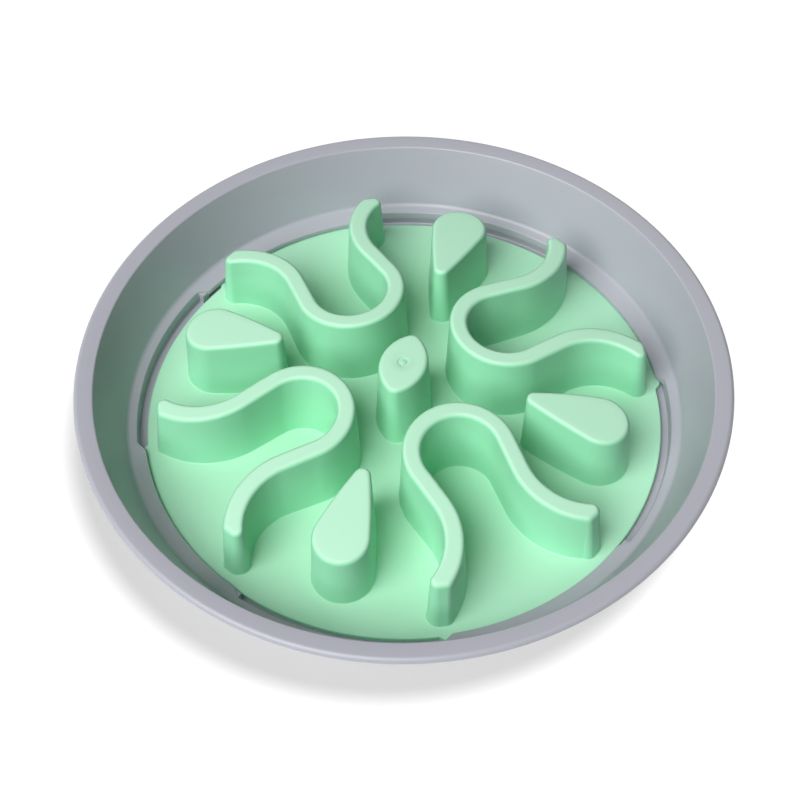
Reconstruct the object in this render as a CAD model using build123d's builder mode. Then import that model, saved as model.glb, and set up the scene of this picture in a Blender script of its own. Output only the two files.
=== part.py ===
from build123d import *
import os
from math import acos, atan2, cos, hypot, radians, sin, sqrt, tan

os.makedirs("parts", exist_ok=True)

# Slow feeder bowl, in millimetres. The origin is on the ground at the bowl's axis, +Z up,
# and +X runs through a teardrop pillar.

# Bowl
rim_d = 240.0  # outside of the rim
rim_h = 40.0  # rim top above the ground
rim_ring_w = 7.0  # flat ring on top of the wall
rim_t = 2.4
rim_outer_round = 1.8  # outer top corner of the rim
rim_inner_round = 0.7  # corner between the ring and the wall
bowl_wall_t = 2.5  # wall, and the base ring under it
base_lean = 3.0  # base ring's lean inward down to the ground
bowl_floor_t = 2.4
wall_spread = 10.0  # wall's lean outward from the shelf to the rim
ledge_w = 4.0  # shelf behind the pocket for the lobes
shelf_fall = 1.6  # shelf's fall from the wall to the lips' edge
shelf_cove = 2.5  # hollow corner between the wall and the shelf
gap_lean = 0.8  # shelf's edge between the lips, leaning back from the pocket's wall
lip_t = 2.0
lip_corner_r = 2.0  # rounded ends of the lips
lip_arc_deg = 44.0
lip_lead_deg = 3.0  # lips' middle, ahead of the insert's lobes at rest
rib_arc_deg = 2.0  # stop rib across the end of each lip
rib_back = 0.4  # rib behind the lips' edge and below their top
seat_h = 10.8  # bowl floor above the ground
base_gap = 1.5  # ground to the base ring
edge_round = 0.5  # small corners left by the mould

# Insert's plate
plate_t = 2.0
plate_crown = 3.0  # rise of the plate from its edge to its middle
plate_land_w = 6.0  # flat underside along the edge
plate_seam_deg = 13.0  # the turned plate starts clear of the walls
lobe_reach = 2.2  # lobes past the plate's edge
lobe_arc_deg = 40.0
lobe_corner_r = 1.5

# Insert's walls and pillars
maze_h = 30.0  # middle pillar above the plate's middle
dome_r = 430.0  # all the tops lie on one dome
draft_deg = 2.5
shell_t = 1.8  # hollow walls and pillars, open underneath
top_round = 2.2
foot_round = 0.5  # hollow corner between the walls and the plate
parting_share = 0.4  # of that corner: where the plate and what stands on it are parted
end_inset = 6.0  # loop walls' ends behind the plate's edge
end_lean_deg = 5.0
end_round = 2.4  # upright corners of the ends

# Loop wall: a loop and two flares, laid out in shares of the radius at which the walls end
loop_wall_w = 7.0  # at the top
loop_r_share = 0.191
loop_at_share = 0.472
flare_r_share = 0.283  # arcs that open towards the bowl's wall
flare_at_share = 0.667
flare_side_share = 0.456  # flare's centre, off the wall's middle line
flare_past_deg = 15.0  # flares run on past the end cut

# Teardrop pillar, with the places of its round end and its tip in the same shares
tear_r = 10.3
tear_at_share = 0.821
tear_tip_r = 3.2
tear_tip_at_share = 0.549
tear_flank_r = 190.0  # its long sides bulge a little

# Pointed oval pillar in the middle
oval_l = 28.0
oval_w = 18.0
oval_tip_r = 4.0
gate_d = 4.2  # moulding gate's mark: a shallow ring round a low pip
gate_pip_d = 2.2
gate_depth = 0.3

# Feet
foot_d = 16.0
foot_h = 5.0
foot_proud = 2.0  # foot below its cup
foot_inset = 15.0  # foot's middle inside the base ring
foot_edge_r = 0.8
cup_wall_t = 2.0

# Fits
lip_clear = 0.6  # plate to the lips, sideways and up
pocket_clear = 0.8  # lobes to the wall of their pocket
seat_clear = 0.3  # insert above the bowl floor
overrun = 5.0  # cutting shapes past what they cut

copies = 4
step_deg = 360.0 / copies

# Bowl heights and radii that follow from the fits
rim_r = rim_d / 2
rim_in_r = rim_r - rim_ring_w
shelf_r = rim_in_r - wall_spread
pocket_r = shelf_r - ledge_w
lobe_r = pocket_r - pocket_clear
plate_r = lobe_r - lobe_reach
lip_r = plate_r + lip_clear
base_r = pocket_r + bowl_wall_t - base_lean
foot_at = pocket_r - foot_inset
plate_low = seat_h + seat_clear
plate_edge_h = plate_low + plate_t
lip_low = plate_edge_h + lip_clear
lip_high = lip_low + lip_t
shelf_h = lip_high + shelf_fall
gap_arc_deg = step_deg - lip_arc_deg
lip_end_deg = step_deg / 2 + lip_lead_deg + lip_arc_deg / 2

# Insert heights, and the layout of its walls and pillars
plate_top = plate_edge_h + plate_crown
parting_h = parting_share * foot_round
dome_top = plate_top + maze_h
end_r = plate_r - end_inset
loop_r = loop_r_share * end_r
loop_at = loop_at_share * end_r
flare_r = flare_r_share * end_r
flare_at = flare_at_share * end_r
flare_side = flare_side_share * end_r
tear_at = tear_at_share * end_r
tear_tip_at = tear_tip_at_share * end_r


def dome_height(radius):
    return dome_top - dome_r + sqrt(dome_r**2 - radius**2)


draft_h = dome_height(tear_at)  # the plan sizes hold at this height
end_top_h = dome_height(end_r)


def grown(height):
    """Growth of a drafted outline at a height."""
    return (draft_h - height) * tan(radians(draft_deg))


def radial_plane(angle):
    """Upright plane through the axis: local X runs outward, local Y runs up."""
    turn = radians(angle)
    return Plane((0, 0, 0), x_dir=(cos(turn), sin(turn), 0), z_dir=(sin(turn), -cos(turn), 0))


def closed_outline(points):
    """Face inside straight lines from point to point."""
    with BuildSketch() as face:
        with BuildLine():
            Polyline(*points, close=True)
        make_face()
    return face.sketch


def teardrop(grow):
    """Round end outward, narrow tip towards the axis."""
    big = tear_r + grow
    tip = tear_tip_r + grow
    flank = tear_flank_r + grow
    span = tear_at - tear_tip_at
    along = (span**2 + (flank - tip) ** 2 - (flank - big) ** 2) / (2 * span)
    flank_mid = Vector(tear_tip_at + along, -sqrt((flank - tip) ** 2 - along**2))
    big_mid = Vector(tear_at, 0)
    tip_mid = Vector(tear_tip_at, 0)
    big_side = big_mid + (big_mid - flank_mid).normalized() * big
    tip_side = tip_mid + (tip_mid - flank_mid).normalized() * tip
    flank_side = flank_mid + ((big_side + tip_side) / 2 - flank_mid).normalized() * flank

    def lower(point):
        return Vector(point.X, -point.Y)

    with BuildSketch() as face:
        with BuildLine():
            ThreePointArc(lower(big_side), (tear_at + big, 0), big_side)
            ThreePointArc(big_side, flank_side, tip_side)
            ThreePointArc(tip_side, (tear_tip_at - tip, 0), lower(tip_side))
            ThreePointArc(lower(tip_side), lower(flank_side), lower(big_side))
        make_face()
    return face.sketch


def pointed_oval(grow):
    """Two equal arcs that meet in rounded points on the Y axis."""
    half_w = oval_w / 2 + grow
    half_l = oval_l / 2 + grow
    tip = oval_tip_r + grow
    side = (half_l**2 - half_w**2 - 2 * tip * (half_l - half_w)) / (2 * (half_w - tip))
    arc = half_w + side
    tip_at = half_l - tip
    touch = Vector(0, tip_at) + Vector(side, tip_at).normalized() * tip
    with BuildSketch() as face:
        with BuildLine():
            ThreePointArc((touch.X, -touch.Y), (arc - side, 0), (touch.X, touch.Y))
            ThreePointArc((touch.X, touch.Y), (0, half_l), (-touch.X, touch.Y))
            ThreePointArc((-touch.X, touch.Y), (side - arc, 0), (-touch.X, -touch.Y))
            ThreePointArc((-touch.X, -touch.Y), (0, -half_l), (touch.X, -touch.Y))
        make_face()
    return face.sketch


def loop_ribbon(half_w):
    """Band along the loop wall: a round loop near the axis, two flares that open outward."""
    span = hypot(flare_at - loop_at, flare_side)
    lean = atan2(flare_side, flare_at - loop_at) + acos((loop_r + flare_r) / span)
    out = Vector(cos(lean), sin(lean))
    loop_mid = Vector(loop_at, 0)
    flare_mid = Vector(flare_at, flare_side)
    flare_turn = (radians(180 + flare_past_deg) - lean) / 2
    sweep_mid = Vector(-cos(lean + flare_turn), -sin(lean + flare_turn))
    sweep_end = Vector(-cos(lean + 2 * flare_turn), -sin(lean + 2 * flare_turn))

    def side_points(loop, flare):
        return [
            flare_mid + sweep_end * flare,
            flare_mid + sweep_mid * flare,
            flare_mid - out * flare,
            loop_mid + out * loop,
        ]

    def lower(point):
        return Vector(point.X, -point.Y)

    def side(loop, flare):
        end, mid, touch, start = side_points(loop, flare)
        ThreePointArc(end, mid, touch)
        Line(touch, start)
        ThreePointArc(start, (loop_at - loop, 0), lower(start))
        Line(lower(start), lower(touch))
        ThreePointArc(lower(touch), lower(mid), lower(end))
        return end, lower(end)

    with BuildSketch() as face:
        with BuildLine():
            outer_ends = side(loop_r + half_w, flare_r - half_w)
            inner_ends = side(loop_r - half_w, flare_r + half_w)
            for outer_end, inner_end in zip(outer_ends, inner_ends):
                Line(outer_end, inner_end)
        make_face()
    return face.sketch


def drafted(outline, low, high, inset, size=0.0):
    """Solid between two heights whose sides follow the draft."""
    with BuildPart() as body:
        for height in (low, high):
            with BuildSketch(Plane.XY.offset(height)):
                add(outline(size + grown(height) - inset))
        loft(ruled=True)
    return body.part


def under_dome(low, inset):
    """Room for the walls and pillars: a dome on top, ends that lean inward."""
    lean = tan(radians(end_lean_deg))
    low_r = end_r + (end_top_h - low) * lean - inset
    high_r = end_r + (end_top_h - dome_top) * lean - inset
    with BuildPart() as body:
        with BuildSketch(Plane.XZ):
            add(closed_outline([(0, low), (low_r, low), (high_r, dome_top), (0, dome_top)]))
        revolve(axis=Axis.Z)
        with Locations((0, 0, dome_top - inset - dome_r)):
            Sphere(dome_r, rotation=(0, 90, 0), mode=Mode.INTERSECT)
    return body.part


def maze_bodies(low, high, inset):
    """All the walls and pillars, or with an inset the hollows inside them."""
    with BuildPart() as body:
        add(drafted(pointed_oval, low, high, inset))
        with PolarLocations(0, copies):
            add(drafted(teardrop, low, high, inset))
        with PolarLocations(0, copies, start_angle=step_deg / 2):
            add(drafted(loop_ribbon, low, high, inset, loop_wall_w / 2))
        add(under_dome(low, inset), mode=Mode.INTERSECT)
    return body.part


def off_axis(point):
    return hypot(point.X, point.Y)


def is_upright(edge):
    return abs((edge @ 1).Z - (edge @ 0).Z) > maze_h / 2


def is_wall_end(face):
    return face.geom_type == GeomType.CONE and off_axis(face.center()) > end_r


def is_wall_foot(edge):
    """Edge where a wall or pillar meets the plate, not the plate's seam or its rim."""
    reaches = off_axis(edge @ 0), off_axis(edge @ 1)
    return max(reaches) < plate_r and max(reaches) - min(reaches) < plate_r / 2


# Bowl: one turned section, then the gaps between the lips, the stop ribs and the foot cups
with BuildPart() as outer_bowl:
    with BuildSketch(Plane.XZ) as bowl_section:
        add(closed_outline([
            (0, seat_h),
            (pocket_r, seat_h),
            (pocket_r, lip_low),
            (lip_r, lip_low),
            (lip_r, lip_high),
            (shelf_r, shelf_h),
            (rim_in_r, rim_h),
            (rim_r, rim_h),
            (rim_r, rim_h - rim_t),
            (rim_in_r + bowl_wall_t, rim_h - rim_t),
            (shelf_r + bowl_wall_t, shelf_h),
            (pocket_r + bowl_wall_t, seat_h),
            (base_r, base_gap),
            (base_r - bowl_wall_t, base_gap),
            (base_r - bowl_wall_t, seat_h - bowl_floor_t),
            (0, seat_h - bowl_floor_t),
        ]))
        for corner, radius in (
            ((rim_r, rim_h), rim_outer_round),
            ((rim_in_r, rim_h), rim_inner_round),
            ((shelf_r, shelf_h), shelf_cove),
            ((rim_r, rim_h - rim_t), edge_round),
            ((base_r, base_gap), edge_round),
        ):
            fillet(bowl_section.vertices().sort_by_distance(Vertex(*corner))[0], radius)
    revolve(axis=Axis.Z)
    for copy in range(copies):
        with BuildSketch(radial_plane(lip_end_deg + copy * step_deg)):
            add(closed_outline([
                (lip_r - overrun, lip_low),
                (pocket_r, lip_low),
                (pocket_r + gap_lean, shelf_h),
                (pocket_r + gap_lean, shelf_h + overrun),
                (lip_r - overrun, shelf_h + overrun),
            ]))
        revolve(axis=Axis.Z, revolution_arc=gap_arc_deg, mode=Mode.SUBTRACT)
    lip_mid_r = (lip_r + pocket_r) / 2
    upright_edges = outer_bowl.edges().filter_by(Axis.Z)
    fillet(upright_edges.filter_by(lambda edge: off_axis(edge.center()) < lip_mid_r), lip_corner_r)
    for copy in range(copies):
        with BuildSketch(radial_plane(lip_end_deg - rib_arc_deg / 2 + copy * step_deg)):
            add(closed_outline([
                (lip_r + rib_back, seat_h - bowl_floor_t / 2),
                (pocket_r + bowl_wall_t / 2, seat_h - bowl_floor_t / 2),
                (pocket_r + bowl_wall_t / 2, lip_high - rib_back),
                (lip_r + rib_back, lip_high - rib_back),
            ]))
        revolve(axis=Axis.Z, revolution_arc=rib_arc_deg)
    with BuildSketch(Plane.XY.offset(foot_proud)):
        with PolarLocations(foot_at, copies, start_angle=step_deg / 2):
            Circle(foot_d / 2 + cup_wall_t)
    extrude(amount=seat_h - bowl_floor_t / 2 - foot_proud)
    with BuildSketch(Plane.XY.offset(foot_proud)):
        with PolarLocations(foot_at, copies, start_angle=step_deg / 2):
            Circle(foot_d / 2)
    extrude(amount=foot_h - foot_proud, mode=Mode.SUBTRACT)
outer_bowl.part.label = "outer_bowl"
export_step(outer_bowl.part, "parts/outer_bowl.step")

# Walls and pillars of the insert, with rounded tops and ends
with BuildPart() as maze_walls:
    add(maze_bodies(plate_low, dome_top + overrun, 0))
    fillet(maze_walls.faces().filter_by(is_wall_end).edges().filter_by(is_upright), end_round)
    fillet(maze_walls.faces().filter_by(GeomType.SPHERE).edges(), top_round)

# Insert, one moulding: crowned plate with walls and lobes, hollow underneath
with BuildPart() as moulding:
    with BuildSketch(radial_plane(plate_seam_deg)):
        with BuildLine():
            Line((0, plate_low), (plate_r, plate_low))
            Line((plate_r, plate_low), (plate_r, plate_edge_h))
            Line((0, plate_low), (0, plate_top))
            TangentArc((0, plate_top), (plate_r, plate_edge_h), tangent=(1, 0))
        make_face()
    revolve(axis=Axis.Z)
    add(maze_walls.part)
    plate_face = moulding.faces().filter_by(GeomType.SPHERE).sort_by(SortBy.AREA)[-1]
    fillet(plate_face.edges().filter_by(is_wall_foot), foot_round)
    for copy in range(copies):
        lobe_start_deg = (copy + 1 / 2) * step_deg - lobe_arc_deg / 2
        with BuildSketch(radial_plane(lobe_start_deg)):
            add(closed_outline([
                (plate_r - plate_land_w, plate_low),
                (lobe_r, plate_low),
                (lobe_r, plate_edge_h),
                (plate_r - plate_land_w, plate_edge_h),
            ]))
        revolve(axis=Axis.Z, revolution_arc=lobe_arc_deg)
    lobe_mid_r = (plate_r + lobe_r) / 2
    upright_edges = moulding.edges().filter_by(Axis.Z)
    fillet(upright_edges.filter_by(lambda edge: off_axis(edge.center()) > lobe_mid_r), lobe_corner_r)
    with BuildSketch(radial_plane(plate_seam_deg)):
        with BuildLine():
            Line((0, plate_low - overrun), (plate_r - plate_land_w, plate_low - overrun))
            Line((plate_r - plate_land_w, plate_low - overrun), (plate_r - plate_land_w, plate_low))
            Line((0, plate_low - overrun), (0, plate_top - plate_t))
            TangentArc((0, plate_top - plate_t), (plate_r - plate_land_w, plate_low), tangent=(1, 0))
        make_face()
    revolve(axis=Axis.Z, mode=Mode.SUBTRACT)
    add(maze_bodies(plate_low - overrun, dome_top, shell_t), mode=Mode.SUBTRACT)
    with BuildSketch(Plane.XY.offset(dome_top - gate_depth)):
        Circle(gate_d / 2)
        Circle(gate_pip_d / 2, mode=Mode.SUBTRACT)
    extrude(amount=overrun, mode=Mode.SUBTRACT)

# Room below the parting, which runs just above the crowned plate
with BuildPart() as below_parting:
    with BuildSketch(radial_plane(plate_seam_deg)):
        with BuildLine():
            Line((0, plate_low - overrun), (lobe_r + overrun, plate_low - overrun))
            Line((lobe_r + overrun, plate_low - overrun), (lobe_r + overrun, plate_edge_h + parting_h))
            Line((lobe_r + overrun, plate_edge_h + parting_h), (plate_r, plate_edge_h + parting_h))
            TangentArc((0, plate_top + parting_h), (plate_r, plate_edge_h + parting_h), tangent=(1, 0))
            Line((0, plate_top + parting_h), (0, plate_low - overrun))
        make_face()
    revolve(axis=Axis.Z)

with BuildPart() as maze_plate:
    add(moulding.part)
    add(below_parting.part, mode=Mode.INTERSECT)
maze_plate.part.label = "maze_plate"
export_step(maze_plate.part, "parts/maze_plate.step")

with BuildPart() as standing:
    add(moulding.part)
    add(below_parting.part, mode=Mode.SUBTRACT)


def standing_at(radius, angle):
    """The wall or pillar of the moulding whose middle is nearest to a place in plan."""
    turn = radians(angle)
    place = Vertex(radius * cos(turn), radius * sin(turn), draft_h)
    return standing.solids().sort_by_distance(place)[0]


with BuildPart() as middle_pillar:
    add(standing_at(0, 0))
middle_pillar.part.label = "middle_pillar"
export_step(middle_pillar.part, "parts/middle_pillar.step")

for copy in range(copies):
    with BuildPart() as teardrop_pillar:
        add(standing_at(tear_at, copy * step_deg))
    teardrop_pillar.part.label = f"teardrop_pillar_{copy + 1}"
    export_step(teardrop_pillar.part, f"parts/teardrop_pillar_{copy + 1}.step")
    with BuildPart() as loop_wall:
        add(standing_at(loop_at - loop_r, (copy + 1 / 2) * step_deg))
    loop_wall.part.label = f"loop_wall_{copy + 1}"
    export_step(loop_wall.part, f"parts/loop_wall_{copy + 1}.step")

# Feet: soft plugs seated in the cups
for copy in range(copies):
    turn = radians((copy + 1 / 2) * step_deg)
    with BuildPart() as foot:
        with BuildSketch(Plane((foot_at * cos(turn), foot_at * sin(turn), 0))):
            Circle(foot_d / 2)
        extrude(amount=foot_h)
        fillet(foot.edges().group_by(Axis.Z)[0], foot_edge_r)
    foot.part.label = f"foot_{copy + 1}"
    export_step(foot.part, f"parts/foot_{copy + 1}.step")
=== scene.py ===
import math
import bmesh
import bpy
import numpy as np
from mathutils import Matrix, Vector


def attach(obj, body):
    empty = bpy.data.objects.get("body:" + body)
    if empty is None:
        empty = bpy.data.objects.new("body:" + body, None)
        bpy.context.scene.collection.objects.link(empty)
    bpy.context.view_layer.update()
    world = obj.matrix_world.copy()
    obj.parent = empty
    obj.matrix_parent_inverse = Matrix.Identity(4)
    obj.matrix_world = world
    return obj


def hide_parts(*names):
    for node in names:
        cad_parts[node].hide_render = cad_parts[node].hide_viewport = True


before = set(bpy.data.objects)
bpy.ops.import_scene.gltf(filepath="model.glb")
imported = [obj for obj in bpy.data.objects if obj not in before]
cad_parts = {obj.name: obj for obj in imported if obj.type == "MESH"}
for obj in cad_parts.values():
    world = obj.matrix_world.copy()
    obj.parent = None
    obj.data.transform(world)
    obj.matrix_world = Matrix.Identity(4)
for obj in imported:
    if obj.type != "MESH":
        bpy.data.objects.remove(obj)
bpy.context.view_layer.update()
mm = 0.001  # metres in a millimetre
print("frame loaded:", len(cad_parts), "parts")


def linearColour(hexCode):  # sRGB hex to linear RGBA
    parts = np.array([int(hexCode[i:i + 2], 16) for i in (0, 2, 4)]) / 255.0
    low, high = parts / 12.92, ((parts + 0.055) / 1.055) ** 2.4
    return (*np.where(parts <= 0.04045, low, high), 1.0)


def addNode(tree, kind, props=(), values=(), links=()):  # one node, its settings and what feeds it
    node = tree.nodes.new(kind)
    for name, value in dict(props).items():
        setattr(node, name, value)
    for name, value in dict(values).items():
        node.inputs[name].default_value = value
    for name, (source, output) in dict(links).items():
        tree.links.new(source.outputs[output], node.inputs[name])
    return node


def addNoise(tree, place, size, detail):  # cloudy pattern, with its size in millimetres
    return addNode(tree, "ShaderNodeTexNoise", values={"Scale": 1 / (mm * size), "Detail": detail},
                   links={"Vector": (place, "Object")})


def addGrain(tree, place, s):  # fine bumps that the mould's surface leaves
    grain = addNoise(tree, place, s["grainSize"], s["grainDetail"])
    return addNode(tree, "ShaderNodeBump", values={
        "Strength": s["grainStrength"], "Distance": s["grainDepth"] * mm,
    }, links={"Height": (grain, "Fac")})


# Camera: at the photograph's angle, worked out for a square frame of 800 pixels
cameraSet = dict(
    elevation=math.radians(53.07),
    roll=math.radians(0.87),
    turn=math.radians(17.68),  # round the bowl's axis, from the -Y side
    focal=2022.97,  # pixels
    distance=0.7356,  # metres from the lens to the target
    target=(0.0, 0.0, 0.0411),
    targetPixel=(403.45, 370.22),
    frameSize=800,
    sensor=36.0,
    clip=(0.01, 20.0),
)


# The camera stands back from the target along the ray through the target's pixel
def makeCamera(s):
    spin = Matrix.Rotation(s["turn"], 3, "Z")
    up = spin @ Vector((0, math.sin(s["elevation"]), math.cos(s["elevation"])))
    back = spin @ Vector((0, -math.cos(s["elevation"]), math.sin(s["elevation"])))
    right = spin @ Vector((1, 0, 0))
    camX = math.cos(s["roll"]) * right - math.sin(s["roll"]) * up
    camY = math.sin(s["roll"]) * right + math.cos(s["roll"]) * up
    half = s["frameSize"] / 2
    offX, offY = s["targetPixel"][0] - half, half - s["targetPixel"][1]
    ray = camX * offX + camY * offY - back * s["focal"]
    place = Vector(s["target"]) - ray * (s["distance"] / s["focal"])
    data = bpy.data.cameras.new("photoCamera")
    data.sensor_width = s["sensor"]
    data.lens = s["focal"] / s["frameSize"] * s["sensor"]
    data.clip_start, data.clip_end = s["clip"]
    camera = bpy.data.objects.new("photoCamera", data)
    facing = Matrix((camX, camY, back)).transposed().to_4x4()
    camera.matrix_world = Matrix.Translation(place) @ facing
    bpy.context.scene.collection.objects.link(camera)
    bpy.context.scene.camera = camera
    return camera


camera = makeCamera(cameraSet)
print("camera at", [round(v, 3) for v in camera.location])


# Polypropylene, injection moulded: a satin skin with a tone that drifts a little along the plastic's flow,
# and gloss that comes and goes in soft patches. Faces that point up are rougher, and a painted sheen mixes
# their colour toward a paler top colour, standing in for the white light they reflect. The sides stay deeper
def mouldedPolypropylene(name, s):
    material = bpy.data.materials.new(name)
    material.use_nodes = True
    tree = material.node_tree
    shader = tree.nodes["Principled BSDF"]
    place = addNode(tree, "ShaderNodeTexCoord")
    flow = addNoise(tree, place, s["flowSize"], s["flowDetail"])
    normal = addNode(tree, "ShaderNodeSeparateXYZ", links={"Vector": (place, "Normal")})
    upward = addNode(tree, "ShaderNodeMapRange", values={
        "From Min": s["upward"][0], "From Max": s["upward"][1],
    }, links={"Value": (normal, "Z")})
    if "lowPaintedSheen" in s:  # painted sheen, weaker low down, so the plate is less pale than the tops above it
        height = addNode(tree, "ShaderNodeSeparateXYZ", links={"Vector": (place, "Object")})
        paintedSheenByHeight = addNode(tree, "ShaderNodeMapRange", values={
            "From Min": s["paintedSheenRise"][0] * mm, "From Max": s["paintedSheenRise"][1] * mm, "To Min": s["lowPaintedSheen"],
        }, links={"Value": (height, "Z")})
        paintedSheenLowered = addNode(tree, "ShaderNodeMath", {"operation": "MULTIPLY"},
                       links={0: (upward, "Result"), 1: (paintedSheenByHeight, "Result")})
        paintedSheen = (paintedSheenLowered, "Value")
    else:
        paintedSheen = (upward, "Result")
    side = addNode(tree, "ShaderNodeMix", {"data_type": "RGBA"},
                   {"A": linearColour(s["colour"]), "B": linearColour(s["flowColour"])},
                   {"Factor": (flow, "Fac")})
    # painted sheen: faces that point up are mixed toward the paler top colour
    tone = addNode(tree, "ShaderNodeMix", {"data_type": "RGBA"}, {"B": linearColour(s["paintedSheenColour"])},
                   {"A": (side, "Result"), "Factor": paintedSheen})
    if "gate" in s:  # cloudy blush round the gate, broken up by the flow of the plastic
        away = addNode(tree, "ShaderNodeVectorMath", {"operation": "DISTANCE"},
                       {1: Vector(s["gate"]) * mm}, {0: (place, "Object")})
        swirl = addNoise(tree, place, s["blushGrain"], s["blushDetail"])
        near = addNode(tree, "ShaderNodeMapRange", values={
            "From Min": s["blushReach"] * mm, "From Max": 0.0, "To Max": s["blushDepth"],
        }, links={"Value": (away, "Value")})
        patch = addNode(tree, "ShaderNodeMath", {"operation": "MULTIPLY"},
                        links={0: (near, "Result"), 1: (swirl, "Fac")})
        tone = addNode(tree, "ShaderNodeMix", {"data_type": "RGBA"}, {"B": linearColour(s["blushColour"])},
                       {"A": (tone, "Result"), "Factor": (patch, "Value")})
    sheen = addNoise(tree, place, s["sheenSize"], s["sheenDetail"])
    satin = addNode(tree, "ShaderNodeMapRange", values={
        "From Min": s["sheenSpan"][0], "From Max": s["sheenSpan"][1],
        "To Min": s["rough"][0], "To Max": s["rough"][1],
    }, links={"Value": (sheen, "Fac")})
    rough = addNode(tree, "ShaderNodeMath", {"operation": "MULTIPLY_ADD"}, {1: s["topDryness"]},
                    {0: (upward, "Result"), 2: (satin, "Result")})
    bump = addGrain(tree, place, s)
    tree.links.new(tone.outputs["Result"], shader.inputs["Base Color"])
    tree.links.new(rough.outputs["Value"], shader.inputs["Roughness"])
    tree.links.new(bump.outputs["Normal"], shader.inputs["Normal"])
    shader.inputs["IOR"].default_value = s["ior"]
    shader.inputs["Specular IOR Level"].default_value = s["gloss"]
    return material


# Thermoplastic rubber, moulded: matt and dark, with a coarse dry grain
def mouldedRubber(name, s):
    material = bpy.data.materials.new(name)
    material.use_nodes = True
    tree = material.node_tree
    shader = tree.nodes["Principled BSDF"]
    place = addNode(tree, "ShaderNodeTexCoord")
    bloom = addNoise(tree, place, s["bloomSize"], s["bloomDetail"])
    tone = addNode(tree, "ShaderNodeMix", {"data_type": "RGBA"},
                   {"A": linearColour(s["colour"]), "B": linearColour(s["bloomColour"])},
                   {"Factor": (bloom, "Fac")})
    bump = addGrain(tree, place, s)
    tree.links.new(tone.outputs["Result"], shader.inputs["Base Color"])
    tree.links.new(bump.outputs["Normal"], shader.inputs["Normal"])
    shader.inputs["Roughness"].default_value = s["rough"]
    shader.inputs["IOR"].default_value = s["ior"]
    return material


# Sizes in millimetres. The real grain is about 0.1 mm, too fine to show, so it is drawn coarser
bowlPlasticSet = dict(
    colour="9EA0A9", flowColour="A1A3AB", flowSize=60.0, flowDetail=2.0,
    # the paler top colour is painted sheen on faces that point up
    paintedSheenColour="A5A6AF", upward=(0.5, 0.9),
    rough=(0.30, 0.38), topDryness=0.08, sheenSize=18.0, sheenDetail=3.0, sheenSpan=(0.1, 0.9),
    grainSize=0.7, grainDetail=1.0, grainDepth=0.02, grainStrength=0.08,
    ior=1.49, gloss=0.5,
)
insertPlasticSet = dict(
    colour="90D9AF", flowColour="94DBB3", flowSize=45.0, flowDetail=2.0,
    # the paler top colour is painted sheen on faces that point up, weaker on the low plate
    paintedSheenColour="B7E8CA", upward=(0.5, 0.9), lowPaintedSheen=0.72, paintedSheenRise=(18.0, 36.0),
    gate=(0.0, 0.0, 46.0), blushColour="8FB9A0", blushReach=5.5, blushDepth=0.5,
    blushGrain=3.0, blushDetail=3.0,
    rough=(0.28, 0.33), topDryness=0.12, sheenSize=30.0, sheenDetail=3.0, sheenSpan=(0.1, 0.9),
    grainSize=0.7, grainDetail=1.0, grainDepth=0.02, grainStrength=0.06,
    ior=1.49, gloss=0.2,
)
footRubberSet = dict(
    colour="262628", bloomColour="333335", bloomSize=5.0, bloomDetail=4.0, rough=0.8,
    grainSize=0.6, grainDetail=2.0, grainDepth=0.05, grainStrength=0.4, ior=1.5,
)
finishes = dict(
    bowl_plastic=mouldedPolypropylene("greyPolypropylene", bowlPlasticSet),
    insert_plastic=mouldedPolypropylene("mintPolypropylene", insertPlasticSet),
    foot_rubber=mouldedRubber("darkRubber", footRubberSet),
)
print("finishes:", ", ".join(finishes))


weldSet = dict(reach=0.002, sliver=0.0001)  # millimetres: points this close are one, and edges this short go


# A piece is one or more grids of points in millimetres. Each grid has rows along a section and columns that
# close round it, and rows that shrink to a point or a line close its ends. Edges past an angle stay sharp
def makePiece(name, grids, node, body, slot, sharp=40.0):
    counts = [grid.shape[0] * grid.shape[1] for grid in grids]
    starts = np.cumsum([0] + counts[:-1])
    faces = []
    for grid, start in zip(grids, starts):
        columns = grid.shape[1]
        row, column = np.meshgrid(np.arange(grid.shape[0] - 1), np.arange(columns), indexing="ij")
        here, there = row * columns + column, row * columns + (column + 1) % columns
        faces.append(start + np.stack([here, there, there + columns, here + columns], -1).reshape(-1, 4))
    points = np.concatenate([grid.reshape(-1, 3) for grid in grids]) * mm
    mesh = bpy.data.meshes.new(name)
    mesh.from_pydata(points.tolist(), [], np.concatenate(faces).tolist())
    work = bmesh.new()
    work.from_mesh(mesh)
    bmesh.ops.remove_doubles(work, verts=work.verts, dist=weldSet["reach"] * mm)
    bmesh.ops.dissolve_degenerate(work, edges=work.edges, dist=weldSet["sliver"] * mm)
    bmesh.ops.recalc_face_normals(work, faces=work.faces)
    work.to_mesh(mesh)
    work.free()
    mesh.shade_smooth()
    mesh.set_sharp_from_angle(angle=math.radians(sharp))
    mesh.materials.append(finishes[slot])
    piece = bpy.data.objects.new(name, mesh)
    bpy.context.scene.collection.objects.link(piece)
    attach(piece, body)
    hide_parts(node)
    return piece


def smoothStep(x):  # 0 to 1, level at both ends
    x = np.clip(x, 0.0, 1.0)
    return x * x * (3.0 - 2.0 * x)


def fineAngles(edges, reach, coarse=1.0, fine=0.2):  # degrees round the axis, closer near some edges
    near = [edge + np.arange(-reach, reach, fine) for edge in edges]
    return np.unique(np.concatenate([np.arange(0.0, 360.0, coarse), *near]).round(3) % 360.0)


def quarterTurns(start):  # degrees of four places, a quarter turn apart
    return start + 90.0 * np.arange(4)


def quarterOffset(angles, middle):  # degrees to the nearest of those places
    return (angles - middle + 45.0) % 90.0 - 45.0


def arcEnds(middle, arc):  # degrees where four arcs, a quarter turn apart, start and end
    return np.concatenate([quarterTurns(middle - arc / 2), quarterTurns(middle + arc / 2)])


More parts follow.
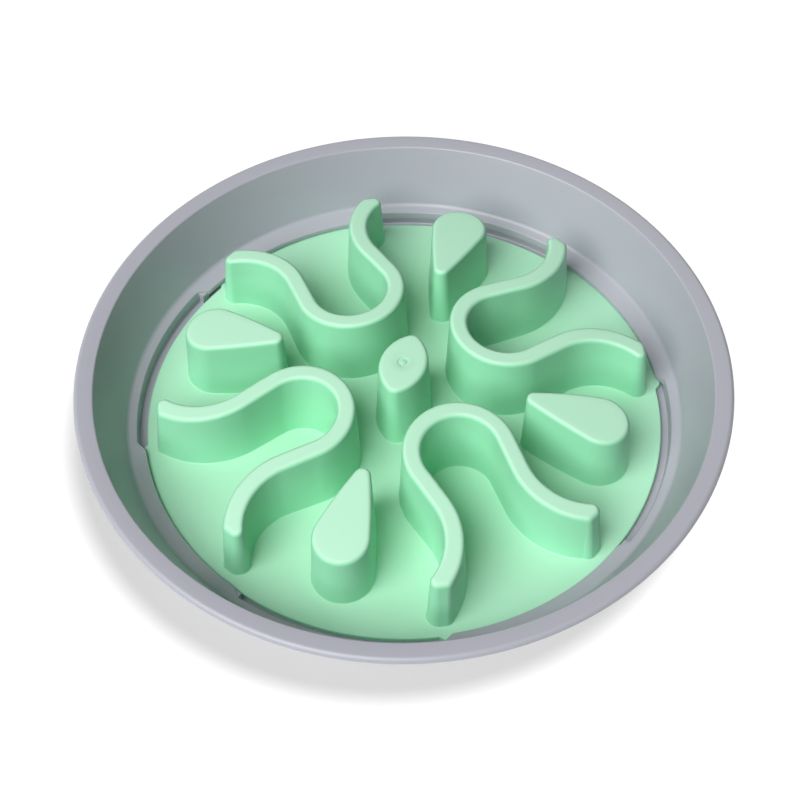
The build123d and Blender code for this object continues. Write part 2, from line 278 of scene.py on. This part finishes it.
def arcShare(angles, middle, arc, blend):  # 1 inside those arcs, 0 outside, with a smooth step between
    return smoothStep(0.5 + (arc / 2 - abs(quarterOffset(angles, middle))) / blend)


def polar(radius, angle, height):  # radius, degrees and height to X, Y, Z
    turn = np.radians(angle)
    return np.stack(np.broadcast_arrays(radius * np.cos(turn), radius * np.sin(turn), height), -1)


# Section with rounded corners: at each corner an arc runs between the two points where a circle of the
# corner's radius touches both sides. Corners are (radius, height), one pair for each angle round the axis
def roundedSection(corners, radii, steps=8):
    rows = [corners[0]]
    for before, at, after, radius in zip(corners[:-2], corners[1:-1], corners[2:], radii):
        if radius == 0:
            rows.append(at)
            continue
        back = (before - at) / np.linalg.norm(before - at, axis=-1, keepdims=True)
        on = (after - at) / np.linalg.norm(after - at, axis=-1, keepdims=True)
        half = np.arccos(np.clip((back * on).sum(-1, keepdims=True), -1, 1)) / 2
        middle = at + (back + on) / np.linalg.norm(back + on, axis=-1, keepdims=True) * radius / np.sin(half)
        first, last = at + back * radius / np.tan(half) - middle, at + on * radius / np.tan(half) - middle
        sweep = np.pi - 2 * half
        for share in np.linspace(0, 1, steps):
            arc = np.sin((1 - share) * sweep) * first + np.sin(share * sweep) * last
            rows.append(middle + arc / np.sin(sweep))
    rows.append(corners[-1])
    return np.array(rows)


# Bowl: one section turned about the axis. Four lips reach in from the shelf, and between them the shelf's
# edge falls back to the pocket's wall in a soft S. A stop rib crosses one end of each lip, and four cups
# hold the feet
bowlSet = dict(
    rimR=120.0, rimH=40.0, ringW=7.0, rimT=2.4, wallT=2.5, wallSpread=10.0, floorT=2.4, seatH=10.8,
    ledgeW=4.0, shelfFall=1.6, lipR=96.6, lipLow=13.7, lipHigh=15.7, lipArc=44.0, lipMid=48.0, lipBlend=2.6,
    gapLean=0.5, gapEase=0.02, baseGap=1.5, baseLean=3.0, ribArc=2.0, ribBack=0.4, ribRound=0.3, ribSteps=5,
    footAt=84.0, footFrom=45.0, footD=16.0, cupT=2.0, cupLow=2.0, cupStep=6.0,
    outerRound=1.8, innerRound=0.8, cove=2.5, edgeRound=0.5, lipRound=0.6,
)


def makeBowl(s):
    rimIn = s["rimR"] - s["ringW"]
    shelfR = rimIn - s["wallSpread"]
    pocketR = shelfR - s["ledgeW"]
    shelfH = s["lipHigh"] + s["shelfFall"]
    baseR = pocketR + s["wallT"] - s["baseLean"]
    underH = s["seatH"] - s["floorT"]
    angles = fineAngles(arcEnds(s["lipMid"], s["lipArc"]), s["lipBlend"])
    lip = arcShare(angles, s["lipMid"], s["lipArc"], s["lipBlend"])
    edgeLow = pocketR - s["gapEase"] + (s["lipR"] - pocketR) * lip
    edgeTop = edgeLow + s["gapLean"] * (1 - lip)
    edgeH = s["lipHigh"] + s["shelfFall"] * (edgeTop - s["lipR"]) / (shelfR - s["lipR"])
    rimLow = s["rimH"] - s["rimT"]
    table = (  # radius, height and rounding of each corner
        (0.0, s["seatH"], 0),
        (pocketR, s["seatH"], s["edgeRound"]),
        (pocketR, s["lipLow"], 0),
        (edgeLow, s["lipLow"], 0),
        (edgeTop, edgeH, s["lipRound"]),
        (shelfR, shelfH, s["cove"]),
        (rimIn, s["rimH"], s["innerRound"]),
        (s["rimR"], s["rimH"], s["outerRound"]),
        (s["rimR"], rimLow, s["edgeRound"]),
        (rimIn + s["wallT"], rimLow, s["edgeRound"]),
        (shelfR + s["wallT"], shelfH, 0),
        (pocketR + s["wallT"], s["seatH"], 0),
        (baseR, s["baseGap"], s["edgeRound"]),
        (baseR - s["wallT"], s["baseGap"], s["edgeRound"]),
        (baseR - s["wallT"], underH, s["edgeRound"]),
        (0.0, underH, 0),
    )
    corners = [np.stack(np.broadcast_arrays(r, z, angles)[:2], -1) for r, z, _ in table]
    section = roundedSection(corners, [rounding for *_, rounding in table[1:-1]])
    grids = [polar(section[..., 0], angles, section[..., 1])]

    # Ribs and cups are sunk part of the way into the floor and the wall
    ribLow, ribHigh = s["seatH"] - s["floorT"] / 2, s["lipHigh"] - s["ribBack"]
    ribIn, ribOut = s["lipR"] + s["ribBack"], pocketR + s["wallT"] / 2
    loop = [(ribOut, ribLow), (ribIn, ribLow), (ribIn, ribHigh), (ribOut, ribHigh), (ribOut, ribLow)]
    rib = roundedSection(np.array(loop)[:, None, :], (0, s["ribRound"], 0))[:-1, 0]
    middle = np.repeat(rib.mean(0, keepdims=True), len(rib), 0)
    for start in quarterTurns(s["lipMid"] + (s["lipArc"] - s["ribArc"]) / 2):
        turns = np.linspace(start, start + s["ribArc"], s["ribSteps"])
        stations = [(middle, turns[0]), *[(rib, turn) for turn in turns], (middle, turns[-1])]
        grids.append(np.array([polar(ring[:, 0], turn, ring[:, 1]) for ring, turn in stations]))

    inner, outer = s["footD"] / 2, s["footD"] / 2 + s["cupT"]
    top = underH + s["floorT"] / 4
    tube = np.array([(inner, top), (inner, s["cupLow"]), (outer, s["cupLow"]), (outer, top), (inner, top)])
    cup = polar(tube[:, :1], np.arange(0.0, 360.0, s["cupStep"])[None], tube[:, 1:])
    grids += [cup + polar(s["footAt"], turn, 0.0) for turn in quarterTurns(s["footFrom"])]
    return makePiece("bowlShell", grids, "outer_bowl", "bowl", "bowl_plastic")


makeBowl(bowlSet)
print("bowl shell made")

# Insert: sizes that its plate, walls and pillars share
mazeSet = dict(
    plateR=96.0, plateLow=11.1, plateT=2.0, crown=3.0, landW=6.0, edgeRound=0.6,
    lobeReach=2.2, lobeMid=45.0, lobeArc=40.0, lobeBlend=1.8, topRows=24, edgeRows=6, underRows=16,
    domeTop=46.09, domeR=430.0, draft=2.5,
    draftAt=0.821,  # share of endR: the draft is measured from the dome's height there
    topRound=1.6, footRound=0.5, sink=0.3, endInset=6.0, endLean=5.0, endRound=2.4,
    footRows=5, sideShares=(0.25, 0.5, 0.75), roundRows=9, capShares=(0.3, 0.65, 1.0),
)
plateEdge = mazeSet["plateLow"] + mazeSet["plateT"]
plateTop = plateEdge + mazeSet["crown"]
endR = mazeSet["plateR"] - mazeSet["endInset"]


def capHeight(radius, top, reach, fall):  # top of a cap of a ball that falls by some height at some radius
    ball = (reach ** 2 + fall ** 2) / (2 * fall)
    return top - ball + np.sqrt(ball ** 2 - np.minimum(radius, reach) ** 2)


def plateHeight(radius):  # top of the crowned plate
    return capHeight(radius, plateTop, mazeSet["plateR"], mazeSet["crown"])


def domeHeight(radius):  # top of the walls and pillars, all on one ball
    return mazeSet["domeTop"] - mazeSet["domeR"] + np.sqrt(mazeSet["domeR"] ** 2 - radius ** 2)


# Plate: a shallow crowned disc, turned about the axis, with four lobes on its edge that turn under the lips
def makePlate(s):
    angles = fineAngles(arcEnds(s["lobeMid"], s["lobeArc"]), s["lobeBlend"])
    reach = s["plateR"] + s["lobeReach"] * arcShare(angles, s["lobeMid"], s["lobeArc"], s["lobeBlend"])
    radii = np.linspace(0, s["plateR"] - s["edgeRound"], s["topRows"])
    rows = [(radius, plateHeight(radius)) for radius in radii]
    rows.append((reach - s["edgeRound"], plateEdge))
    for turn in np.linspace(0, np.pi / 2, s["edgeRows"])[1:]:
        drop = s["edgeRound"] * (1 - math.cos(turn))
        rows.append((reach - s["edgeRound"] * (1 - math.sin(turn)), plateEdge - drop))
    landR = s["plateR"] - s["landW"]
    rows += [(reach, s["plateLow"]), (landR, s["plateLow"])]
    for radius in np.linspace(landR, 0, s["underRows"])[1:]:
        rows.append((radius, capHeight(radius, plateTop - s["plateT"], landR, s["crown"])))
    grid = np.array([polar(radius, angles, height) for radius, height in rows])
    return makePiece("mazePlate", [grid], "maze_plate", "insert", "insert_plastic")


makePlate(mazeSet)


# Wall or pillar: an outline in plan, with its outward directions, carried up a section: a hollow corner at
# the foot, a drafted side, a rounded top corner, then a top on the dome that closes on the spine inside
def standingGrid(outline, outward, spine, lean, gate=()):
    s = mazeSet
    slope = np.tan(np.radians(lean))
    draftH = domeHeight(s["draftAt"] * endR)
    rows = []

    def addRow(grow, height):  # outline moved outward, at a height worked out from its radius
        plan = outline + outward * np.broadcast_to(grow, len(outline))[:, None]
        rows.append(np.column_stack([plan, height(np.linalg.norm(plan, axis=1))]))

    def grown(height):  # how far the draft has moved the wall outward at a height
        return (draftH - height) * slope

    startR = np.linalg.norm(outline, axis=1)
    footH, shoulderH = plateHeight(startR) + s["footRound"], domeHeight(startR) - s["topRound"]
    rows.append(np.column_stack([spine, plateHeight(np.linalg.norm(spine, axis=1)) - s["sink"]]))
    addRow(grown(footH) + s["footRound"], lambda r: plateHeight(r) - s["sink"])
    for turn in np.linspace(0, np.pi / 2, s["footRows"]):
        lift = s["footRound"] * (1 - math.cos(turn))
        addRow(grown(footH) + s["footRound"] * (1 - math.sin(turn)), lambda r: plateHeight(r) + lift)
    for share in s["sideShares"]:
        height = footH + (shoulderH - footH) * share
        addRow(grown(height), lambda r: height)
    for turn in np.linspace(0, np.pi / 2, s["roundRows"]):
        drop = s["topRound"] * (1 - math.sin(turn))
        inset = s["topRound"] * (1 - math.cos(turn))
        addRow(grown(shoulderH + s["topRound"] - drop) - inset, lambda r: domeHeight(r) - drop)
    edge = rows[-1][:, :2]
    if gate:  # round rings about the axis, each with its radius and depth
        away = edge / np.linalg.norm(edge, axis=1, keepdims=True)
        start = away * gate[0][0]
        plans = [(edge + (start - edge) * share, 0.0) for share in s["sideShares"]]
        plans += [(away * radius, depth) for radius, depth in gate]
    else:
        plans = [(edge + (spine - edge) * share, 0.0) for share in s["capShares"]]
    for plan, depth in plans:
        rows.append(np.column_stack([plan, domeHeight(np.linalg.norm(plan, axis=1)) - depth]))
    return np.array(rows)


def arcRun(middle, radius, start, end, count, facing=1):  # points along an arc, and which way its wall faces
    angles = np.linspace(start, end, count, endpoint=False)
    away = np.column_stack([np.cos(angles), np.sin(angles)])
    return np.array(middle) + radius * away, facing * away


def turned(grid, degrees):  # a grid turned about the axis
    turn = math.radians(degrees)
    spin = np.array([(math.cos(turn), math.sin(turn), 0), (-math.sin(turn), math.cos(turn), 0), (0, 0, 1)])
    return grid @ spin


def makeFour(name, grid, start, node):  # four like pieces of the insert, a quarter turn apart
    for k, turn in enumerate(quarterTurns(start), 1):
        makePiece(f"{name}{k}", [turned(grid, turn)], f"{node}_{k}", "insert", "insert_plastic")


# Teardrop: a round end, a small round tip nearer the axis, and two long arcs that touch both
tearSet = dict(
    roundR=10.3, tipR=3.2, flankR=190.0,
    roundAt=mazeSet["draftAt"], tipAt=0.549,  # places in shares of endR
    roundSteps=72, flankSteps=28, tipSteps=36,
    flat=1e-6,  # a direction with less of Y than this lies along X
)


def makeTeardrops(s):
    roundAt, tipAt = s["roundAt"] * endR, s["tipAt"] * endR
    span = roundAt - tipAt
    along = (span ** 2 + (s["flankR"] - s["tipR"]) ** 2 - (s["flankR"] - s["roundR"]) ** 2) / (2 * span)
    flankX, flankY = tipAt + along, -math.sqrt((s["flankR"] - s["tipR"]) ** 2 - along ** 2)
    roundTurn, tipTurn = math.atan2(-flankY, roundAt - flankX), math.atan2(-flankY, tipAt - flankX)
    runs = (
        arcRun((roundAt, 0), s["roundR"], -roundTurn, roundTurn, s["roundSteps"]),
        arcRun((flankX, flankY), s["flankR"], roundTurn, tipTurn, s["flankSteps"]),
        arcRun((tipAt, 0), s["tipR"], tipTurn, 2 * np.pi - tipTurn, s["tipSteps"]),
        arcRun((flankX, -flankY), s["flankR"], -tipTurn, -roundTurn, s["flankSteps"]),
    )
    outline, outward = (np.concatenate(part) for part in zip(*runs))
    steep = np.abs(outward[:, 1]) > s["flat"]  # the spine lies on X, where the walls' own directions meet it
    reach = np.where(steep, outline[:, 1] / np.where(steep, outward[:, 1], 1), 0)
    spine = outline - outward * reach[:, None]
    spine[~steep] = np.where(outward[~steep, :1] > 0, (roundAt, 0), (tipAt, 0))
    grid = standingGrid(outline, outward, spine, mazeSet["draft"])
    makeFour("teardropPillar", grid, 0.0, "teardrop_pillar")


makeTeardrops(tearSet)

# Middle pillar: two equal arcs that meet in rounded points on Y. Its top has the gate's mark, a ring round
# a pip, given as the radius and depth of each step
ovalSet = dict(
    length=28.0, width=18.0, tipR=4.0, sideSteps=56, tipSteps=28,
    gate=((2.4, 0.0), (2.2, 0.05), (2.1, 0.3), (1.2, 0.3), (1.05, 0.05), (0.9, 0.0), (0.0, 0.0)),
)


def makeMiddlePillar(s):
    halfW, halfL, tip = s["width"] / 2, s["length"] / 2, s["tipR"]
    side = (halfL ** 2 - halfW ** 2 - 2 * tip * (halfL - halfW)) / (2 * (halfW - tip))
    arc, tipAt = halfW + side, halfL - tip
    meet = math.atan2(tipAt, side)
    runs = (
        arcRun((-side, 0), arc, -meet, meet, s["sideSteps"]),
        arcRun((0, tipAt), tip, meet, np.pi - meet, s["tipSteps"]),
        arcRun((side, 0), arc, np.pi - meet, np.pi + meet, s["sideSteps"]),
        arcRun((0, -tipAt), tip, np.pi + meet, 2 * np.pi - meet, s["tipSteps"]),
    )
    outline, outward = (np.concatenate(part) for part in zip(*runs))
    grid = standingGrid(outline, outward, np.zeros_like(outline), mazeSet["draft"], s["gate"])
    makePiece("middlePillar", [grid], "middle_pillar", "insert", "insert_plastic")


makeMiddlePillar(ovalSet)


def circlesMeet(middleA, radiusA, middleB, radiusB, near):  # where two circles cross, nearest to a point
    gap = np.array(middleB) - np.array(middleA)
    far = np.linalg.norm(gap)
    along = (radiusA ** 2 - radiusB ** 2 + far ** 2) / (2 * far)
    off = math.sqrt(radiusA ** 2 - along ** 2)
    foot, across = np.array(middleA) + gap / far * along, np.array((-gap[1], gap[0])) / far * off
    return min(foot + across, foot - across, key=lambda point: np.linalg.norm(point - near))


def heading(vector):  # angle of a direction in plan
    return math.atan2(vector[1], vector[0])


# Loop wall: a band of even width along a round loop near the axis and two flares that open outward. Each end
# follows the circle on which the walls end, and small arcs round its corners
loopSet = dict(
    width=7.0, turn=45.0,
    loopR=0.191, loopAt=0.472, flareR=0.283, flareAt=0.667, flareSide=0.456,  # shares of endR
    loopSteps=60, straightSteps=10, flareSteps=40, endSteps=10,
)


def makeLoopWalls(s):
    half, corner = s["width"] / 2, mazeSet["endRound"]
    loopR, flareR = s["loopR"] * endR, s["flareR"] * endR
    loopMid, flareMid = np.array((s["loopAt"] * endR, 0)), np.array((s["flareAt"], s["flareSide"])) * endR
    gap = flareMid - loopMid
    lean = heading(gap) + math.acos((loopR + flareR) / np.linalg.norm(gap))
    out = np.array((math.cos(lean), math.sin(lean)))
    origin, wallSide = np.zeros(2), np.array((endR, 0))
    outerR, innerR = flareR - half, flareR + half
    outerMid = circlesMeet(flareMid, outerR + corner, origin, endR - corner, wallSide)
    innerMid = circlesMeet(flareMid, innerR - corner, origin, endR - corner, wallSide)
    outerTouch, innerTouch = heading(outerMid - flareMid), heading(innerMid - flareMid)
    outerEnd, innerEnd = heading(outerMid), heading(innerMid)
    middleTouch = heading(circlesMeet(flareMid, flareR, origin, endR - half, wallSide) - flareMid)
    spineTurn = min(outerTouch, innerTouch, middleTouch)
    spineEnd = flareMid + flareR * np.array((math.cos(spineTurn), math.sin(spineTurn)))
    touch = lean - np.pi  # where the straight run meets the flare
    cornerStart = outerTouch + np.pi  # the outer corner starts facing the flare's middle
    cornerEnd = outerEnd + 2 * np.pi * round((cornerStart - outerEnd) / 2 / np.pi)

    def straight(start, end, facing):
        share = np.linspace(0, 1, s["straightSteps"], endpoint=False)[:, None]
        return start + (end - start) * share, np.repeat(facing[None], len(share), 0)

    loopSteps, flareSteps, endSteps = s["loopSteps"], s["flareSteps"], s["endSteps"]
    runs = (  # points, facings, how much of the end's lean at start and finish, whether past the spine's end
        (*arcRun(loopMid, loopR + half, np.pi, lean, loopSteps), 0, 0, False),
        (*straight(loopMid + out * (loopR + half), flareMid - out * outerR, out), 0, 0, False),
        (*arcRun(flareMid, outerR, touch, spineTurn, flareSteps, -1), 0, 0, False),
        (*arcRun(flareMid, outerR, spineTurn, outerTouch, endSteps, -1), 0, 0, True),
        (*arcRun(outerMid, corner, cornerStart, cornerEnd, endSteps), 0, 1, True),
        (*arcRun(origin, endR, outerEnd, innerEnd, endSteps), 1, 1, True),
        (*arcRun(innerMid, corner, innerEnd, innerTouch, endSteps), 1, 0, True),
        (*arcRun(flareMid, innerR, innerTouch, spineTurn, endSteps), 0, 0, True),
        (*arcRun(flareMid, innerR, spineTurn, touch, flareSteps), 0, 0, False),
        (*straight(flareMid - out * innerR, loopMid + out * (loopR - half), -out), 0, 0, False),
        (*arcRun(loopMid, loopR - half, lean, np.pi, loopSteps, -1), 0, 0, False),
        ((loopMid - (loopR - half, 0))[None], np.array([(1.0, 0.0)]), 0, 0, False),
    )
    outline, outward = (np.concatenate([run[i] for run in runs]) for i in (0, 1))
    ended = np.concatenate([np.linspace(run[2], run[3], len(run[0]), endpoint=False) for run in runs])
    past = np.concatenate([np.full(len(run[0]), run[4]) for run in runs])
    spine = np.where(past[:, None], spineEnd, outline - outward * half)
    mirror = np.array((1, -1))  # the other half of the wall, across X
    outline, outward, spine = (np.concatenate([a, (a * mirror)[-2:0:-1]]) for a in (outline, outward, spine))
    ended = np.concatenate([ended, ended[-2:0:-1]])
    slant = mazeSet["draft"] + (mazeSet["endLean"] - mazeSet["draft"]) * ended
    grid = standingGrid(outline, outward, spine, slant)
    makeFour("loopWall", grid, s["turn"], "loop_wall")


makeLoopWalls(loopSet)
print("insert made: plate, middle pillar, 4 teardrop pillars, 4 loop walls")

# Feet: turned plugs with two grip grooves round their soles
footSet = dict(
    at=84.0, turn=45.0, radius=8.0, height=5.0, soleRound=0.8, topRound=0.3, step=4.0, rows=5, sharp=60.0,
    grooves=((2.2, 3.8), (5.0, 6.4)), grooveDepth=0.5, grooveSlope=0.3, grooveRound=0.15,
)


def makeFeet(s):
    corners, roundings = [(0.0, 0.0)], []
    for inner, outer in s["grooves"]:
        deep, slope = s["grooveDepth"], s["grooveSlope"]
        corners += [(inner, 0.0), (inner + slope, deep), (outer - slope, deep), (outer, 0.0)]
        roundings += [s["grooveRound"]] * 4
    corners += [(s["radius"], 0.0), (s["radius"], s["height"]), (0.0, s["height"])]
    roundings += [s["soleRound"], s["topRound"]]
    section = roundedSection(np.array(corners)[:, None, :], roundings, s["rows"])[:, 0]
    foot = polar(section[:, :1], np.arange(0.0, 360.0, s["step"])[None], section[:, 1:])
    for k, turn in enumerate(quarterTurns(s["turn"]), 1):
        place = polar(s["at"], turn, 0.0)
        makePiece(f"foot{k}", [foot + place], f"foot_{k}", "bowl", "foot_rubber", s["sharp"])


makeFeet(footSet)
print("feet made")


# Floor: white paper. The camera and mirrors see it lit to white, with the bowl's soft shadow left on it
floorSet = dict(half=6.0, colour="F0F0F0", lift=0.62, share=0.46)


def addRayTest(tree):  # 1 where the camera, a mirror or glass looks straight at the surface
    path = addNode(tree, "ShaderNodeLightPath")
    seen = addNode(tree, "ShaderNodeMath", {"operation": "ADD"},
                   links={0: (path, "Is Camera Ray"), 1: (path, "Is Glossy Ray")})
    return addNode(tree, "ShaderNodeMath", {"operation": "ADD", "use_clamp": True},
                   links={0: (seen, "Value"), 1: (path, "Is Transmission Ray")})


def makeFloor(s):
    mesh = bpy.data.meshes.new("floor")
    corners = s["half"] * np.array([(-1, -1, 0), (1, -1, 0), (1, 1, 0), (-1, 1, 0)])
    mesh.from_pydata(corners.tolist(), [], [(0, 1, 2, 3)])
    material = bpy.data.materials.new("whitePaper")
    material.use_nodes = True
    tree = material.node_tree
    tree.nodes.clear()
    level = linearColour(s["colour"])[0]
    paper = addNode(tree, "ShaderNodeBsdfDiffuse", values={"Color": linearColour(s["colour"])})
    shaded = addNode(tree, "ShaderNodeBsdfDiffuse", values={"Color": (*[level * s["share"]] * 3, 1.0)})
    lift = addNode(tree, "ShaderNodeEmission", values={"Strength": s["lift"]})
    lifted = addNode(tree, "ShaderNodeAddShader", links={0: (shaded, "BSDF"), 1: (lift, "Emission")})
    pick = addNode(tree, "ShaderNodeMixShader",
                   links={0: (addRayTest(tree), "Value"), 1: (paper, "BSDF"), 2: (lifted, "Shader")})
    addNode(tree, "ShaderNodeOutputMaterial", links={"Surface": (pick, "Shader")})
    mesh.materials.append(material)
    floor = bpy.data.objects.new("floor", mesh)
    bpy.context.scene.collection.objects.link(floor)
    return floor


floor = makeFloor(floorSet)

# Lights: wide soft sources round the bowl, and one for the floor alone. Degrees: turn from the photograph's
# right, rise above the floor, and spread across the source
lightSet = dict(
    keyBox=dict(turn=231, rise=47, spread=52, power=1.32, floor=False),
    rimBox=dict(turn=60, rise=42, spread=35, power=0.07, floor=False),
    floorBox=dict(turn=315, rise=75, spread=14, power=1.07, floor=True),
)
worldSet = dict(fill=0.0, shown=1.0)  # strength as light, and as the camera and mirrors see it


def makeLights(lamps, world):
    catchers = {}
    for onFloor, state in ((True, "INCLUDE"), (False, "EXCLUDE")):
        catchers[onFloor] = bpy.data.collections.new("floorOnly" if onFloor else "allButFloor")
        catchers[onFloor].objects.link(floor)
        catchers[onFloor].collection_objects[0].light_linking.link_state = state
    for name, s in lamps.items():
        data = bpy.data.lights.new(name, "SUN")
        data.angle, data.energy = math.radians(s["spread"]), math.pi * s["power"]
        turn, rise = math.radians(s["turn"]) + cameraSet["turn"], math.radians(s["rise"])
        aim = Vector((math.cos(turn) * math.cos(rise), math.sin(turn) * math.cos(rise), math.sin(rise)))
        lamp = bpy.data.objects.new(name, data)
        lamp.location = aim
        lamp.rotation_mode = "QUATERNION"
        lamp.rotation_quaternion = aim.to_track_quat("Z", "Y")
        lamp.light_linking.receiver_collection = catchers[s["floor"]]
        bpy.context.scene.collection.objects.link(lamp)
    space = bpy.data.worlds.new("studio")
    bpy.context.scene.world = space
    space.use_nodes = True
    tree = space.node_tree
    tree.nodes.clear()
    white = linearColour("FFFFFF")
    fill = addNode(tree, "ShaderNodeBackground", values={"Color": white, "Strength": world["fill"]})
    shown = addNode(tree, "ShaderNodeBackground", values={"Color": white, "Strength": world["shown"]})
    pick = addNode(tree, "ShaderNodeMixShader",
                   links={0: (addRayTest(tree), "Value"), 1: (fill, "Background"), 2: (shown, "Background")})
    addNode(tree, "ShaderNodeOutputWorld", links={"Surface": (pick, "Shader")})


makeLights(lightSet, worldSet)
bpy.context.scene.view_settings.view_transform = "Standard"
print("lights:", ", ".join(lightSet))
